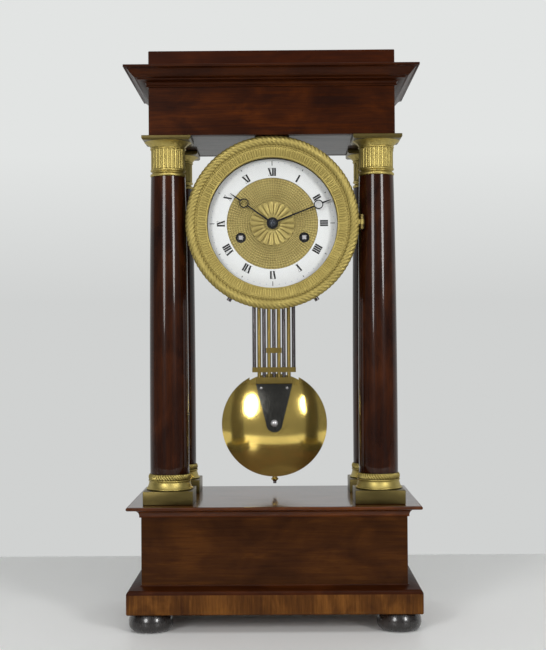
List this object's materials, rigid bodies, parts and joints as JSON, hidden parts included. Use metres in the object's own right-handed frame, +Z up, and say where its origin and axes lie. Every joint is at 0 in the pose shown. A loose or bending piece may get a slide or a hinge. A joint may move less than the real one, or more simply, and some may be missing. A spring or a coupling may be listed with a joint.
{
  "type": "portico clock",
  "caption": "Mahogany portico mantel clock: columns on a moulded base carry an entablature with a drum dial and a gridiron pendulum that swings in the open bay.",
  "frame": {"origin": "centre of the footprint on the shelf, at the soles of the feet", "axes": "+Z up, the dial faces -Y, +X to the right of a viewer at the front"},
  "size_m": [0.25, 0.164, 0.4955],
  "materials": {
    "mahogany": "French-polished flame mahogany veneer",
    "ebonised_wood": "ebonised, polished",
    "gilt_bronze": "mercury gilt, matt and burnished",
    "brass": "lacquered, turned",
    "polished_brass": "polished",
    "bell_metal": "turned",
    "steel": "polished",
    "blued_steel": "dark blued",
    "enamel": "white vitreous enamel",
    "glass": "clear, convex"
  },
  "bodies": {
    "case": {"bun_feet": "ebonised_wood", "plinth": "mahogany", "base_box": "mahogany", "base_top": "mahogany", "column_base_front_left": "gilt_bronze", "column_base_front_right": "gilt_bronze", "column_base_rear_left": "gilt_bronze", "column_base_rear_right": "gilt_bronze", "column_shaft_front_left": "mahogany", "column_shaft_front_right": "mahogany", "column_shaft_rear_left": "mahogany", "column_shaft_rear_right": "mahogany", "capital_front_left": "gilt_bronze", "capital_front_right": "gilt_bronze", "capital_rear_left": "gilt_bronze", "capital_rear_right": "gilt_bronze", "tie_rods": "steel", "soffit_board": "mahogany", "frieze_box": "mahogany", "cornice": "mahogany", "top_block": "mahogany", "drum_shell": "brass", "case_screws": "steel", "bezel_hinge_pin": "steel", "dial_plate": "brass", "dial_centre": "gilt_bronze", "dial_ring": "enamel", "front_plate": "brass", "back_plate": "brass", "mainsprings": "steel", "bell": "bell_metal", "suspension_cock": "brass"},
    "bezel_door": {"bezel": "gilt_bronze", "bezel_glass": "glass"},
    "minute_work": {"minute_hand": "blued_steel", "hand_nut": "blued_steel", "cannon_pinion": "steel"},
    "minute_reducer": {"minute_wheel": "brass"},
    "hour_work": {"hour_hand": "blued_steel", "hour_wheel": "brass"},
    "escape_work": {"escape_arbor": "brass"},
    "third_work": {"third_arbor": "brass"},
    "centre_work": {"centre_arbor": "brass"},
    "going_second": {"going_second_arbor": "brass"},
    "going_drum": {"going_barrel": "brass"},
    "going_key": {"going_winding_arbor": "steel"},
    "fly": {"fly_arbor": "brass"},
    "pin_wheel": {"pin_wheel_arbor": "brass"},
    "strike_second": {"strike_second_arbor": "brass"},
    "strike_drum": {"strike_barrel": "brass"},
    "strike_key": {"strike_winding_arbor": "steel"},
    "hammer_arm": {"hammer": "steel"},
    "crutch": {"anchor": "steel"},
    "pendulum": {"suspension_spring": "steel", "steel_rods": "steel", "brass_rods": "brass"},
    "bob_mass": {"bob": "polished_brass", "bob_shield": "steel", "shield_screws": "steel"},
    "nut": {"rating_nut": "polished_brass"}
  },
  "joints": [
    {"name": "bezel_open", "type": "hinge", "parent": "case", "child": "bezel_door", "pos_m": [0.0769, -0.05875, 0.3481], "axis": [0, 0, 1], "range_deg": [0, 95]},
    {"name": "minute_turn", "type": "hinge", "parent": "case", "child": "minute_work", "pos_m": [0, -0.02, 0.3481], "axis": [0, 1, 0], "continuous": true},
    {"name": "minute_wheel_turn", "type": "hinge", "parent": "case", "child": "minute_reducer", "pos_m": [-0.01039, -0.02, 0.3541], "axis": [0, 1, 0], "continuous": true},
    {"name": "hour_turn", "type": "hinge", "parent": "case", "child": "hour_work", "pos_m": [0, -0.02, 0.3481], "axis": [0, 1, 0], "continuous": true},
    {"name": "escape_turn", "type": "hinge", "parent": "case", "child": "escape_work", "pos_m": [0, -0.02, 0.3731], "axis": [0, 1, 0], "continuous": true},
    {"name": "third_turn", "type": "hinge", "parent": "case", "child": "third_work", "pos_m": [-0.00872, -0.02, 0.36288], "axis": [0, 1, 0], "continuous": true},
    {"name": "centre_turn", "type": "hinge", "parent": "case", "child": "centre_work", "pos_m": [0, -0.02, 0.3481], "axis": [0, 1, 0], "continuous": true},
    {"name": "going_second_turn", "type": "hinge", "parent": "case", "child": "going_second", "pos_m": [0.01599, -0.02, 0.35545], "axis": [0, 1, 0], "continuous": true},
    {"name": "going_barrel_turn", "type": "hinge", "parent": "case", "child": "going_drum", "pos_m": [0.0275, -0.02, 0.3359], "axis": [0, 1, 0], "continuous": true},
    {"name": "going_wind", "type": "hinge", "parent": "case", "child": "going_key", "pos_m": [0.0275, -0.02, 0.3359], "axis": [0, 1, 0], "range_deg": [0, 1800]},
    {"name": "fly_turn", "type": "hinge", "parent": "case", "child": "fly", "pos_m": [0.00959, -0.02, 0.3051], "axis": [0, 1, 0], "continuous": true},
    {"name": "pin_wheel_turn", "type": "hinge", "parent": "case", "child": "pin_wheel", "pos_m": [0.00959, -0.02, 0.32029], "axis": [0, 1, 0], "continuous": true},
    {"name": "strike_second_turn", "type": "hinge", "parent": "case", "child": "strike_second", "pos_m": [-0.00694, -0.02, 0.32632], "axis": [0, 1, 0], "continuous": true},
    {"name": "strike_barrel_turn", "type": "hinge", "parent": "case", "child": "strike_drum", "pos_m": [-0.0275, -0.02, 0.3359], "axis": [0, 1, 0], "continuous": true},
    {"name": "strike_wind", "type": "hinge", "parent": "case", "child": "strike_key", "pos_m": [-0.0275, -0.02, 0.3359], "axis": [0, 1, 0], "range_deg": [0, 1800]},
    {"name": "hammer_lift", "type": "hinge", "parent": "case", "child": "hammer_arm", "pos_m": [0.03026, -0.02, 0.31437], "axis": [0, 1, 0], "range_deg": [0, 10], "stiffness_Nm_per_rad": 0.01, "springref_deg": -5.73},
    {"name": "pendulum_swing", "type": "hinge", "parent": "case", "child": "pendulum", "pos_m": [0, 0.038, 0.3901], "axis": [0, 1, 0], "range_deg": [-4, 4]},
    {"name": "crutch_swing", "type": "hinge", "parent": "case", "child": "crutch", "pos_m": [0, 0.038, 0.3901], "axis": [0, 1, 0], "range_deg": [-4, 4]},
    {"name": "bob_slide", "type": "slide", "parent": "pendulum", "child": "bob_mass", "axis": [0, 0, 1], "range_m": [-0.0015, 0.001]},
    {"name": "nut_turn", "type": "hinge", "parent": "bob_mass", "child": "nut", "pos_m": [0, 0.038, 0.116], "axis": [0, 0, 1], "range_deg": [-1080, 720]}
  ],
  "couplings": [
    {"joint": "minute_wheel_turn", "follows": "minute_turn", "ratio": -0.33333},
    {"joint": "hour_turn", "follows": "minute_turn", "ratio": 0.083333},
    {"joint": "third_turn", "follows": "escape_turn", "ratio": -0.090909},
    {"joint": "centre_turn", "follows": "escape_turn", "ratio": 0.0075758},
    {"joint": "going_second_turn", "follows": "escape_turn", "ratio": -0.00084175},
    {"joint": "going_barrel_turn", "follows": "escape_turn", "ratio": 0.00010522},
    {"joint": "pin_wheel_turn", "follows": "fly_turn", "ratio": -0.11111},
    {"joint": "strike_second_turn", "follows": "fly_turn", "ratio": 0.012346},
    {"joint": "strike_barrel_turn", "follows": "fly_turn", "ratio": -0.0015432},
    {"joint": "crutch_swing", "follows": "pendulum_swing", "ratio": 1},
    {"joint": "nut_turn", "follows": "bob_slide", "rad_per_m": 12566}
  ]
}
